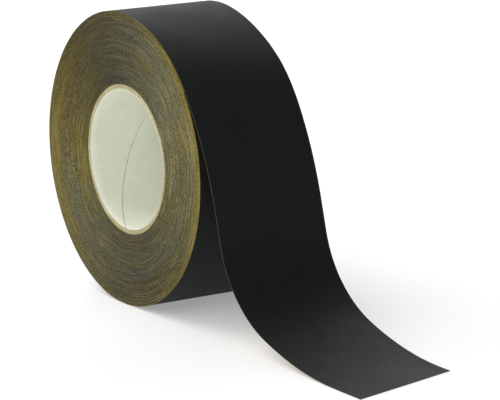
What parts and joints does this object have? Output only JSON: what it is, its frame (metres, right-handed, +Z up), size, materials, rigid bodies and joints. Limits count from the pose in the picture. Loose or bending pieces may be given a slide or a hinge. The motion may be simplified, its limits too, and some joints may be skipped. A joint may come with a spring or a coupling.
{
  "type": "cloth tape roll",
  "caption": "Roll of matt black coated cloth tape on a spirally wound paper core, its free end paid out over the top and laid flat, with a slanted cut.",
  "frame": {"origin": "centre of the core's bore, halfway across the width", "axes": "+Y along the bore, +Z up, +X the way the free end is paid out"},
  "size_m": [0.3026, 0.0654, 0.1601],
  "materials": {
    "white_liner": "matte",
    "kraft_board": "matte",
    "wound_edges": "satin",
    "adhesive": "satin",
    "cloth": "matte",
    "black_coating": "matte"
  },
  "bodies": {
    "roll": {"core_liner": "white_liner", "core_ply_1": "kraft_board", "core_ply_2": "kraft_board", "core_ply_3": "kraft_board", "core_ply_4": "kraft_board", "core_ply_5": "kraft_board", "wound_pack": "wound_edges", "outer_turn_adhesive": "adhesive", "outer_turn_cloth": "cloth", "outer_turn_coating": "black_coating"},
    "tail_top": {"tail_top_adhesive": "adhesive", "tail_top_cloth": "cloth", "tail_top_coating": "black_coating"},
    "tail_knee": {"tail_knee_adhesive": "adhesive", "tail_knee_cloth": "cloth", "tail_knee_coating": "black_coating"},
    "tail_end": {"tail_end_adhesive": "adhesive", "tail_end_cloth": "cloth", "tail_end_coating": "black_coating"}
  },
  "joints": [
    {"name": "tail_lift", "type": "hinge", "parent": "roll", "child": "tail_top", "pos_m": [0.06529, 0, 0.04743], "axis": [0, -1, 0], "range_deg": [0, 90]},
    {"name": "knee_flex", "type": "hinge", "parent": "tail_top", "child": "tail_knee", "pos_m": [0.09426, 0, -0.01264], "axis": [0, -1, 0], "range_deg": [-25, 50]},
    {"name": "end_flex", "type": "hinge", "parent": "tail_knee", "child": "tail_end", "pos_m": [0.13781, 0, -0.06867], "axis": [0, -1, 0], "range_deg": [-25, 60]}
  ]
}
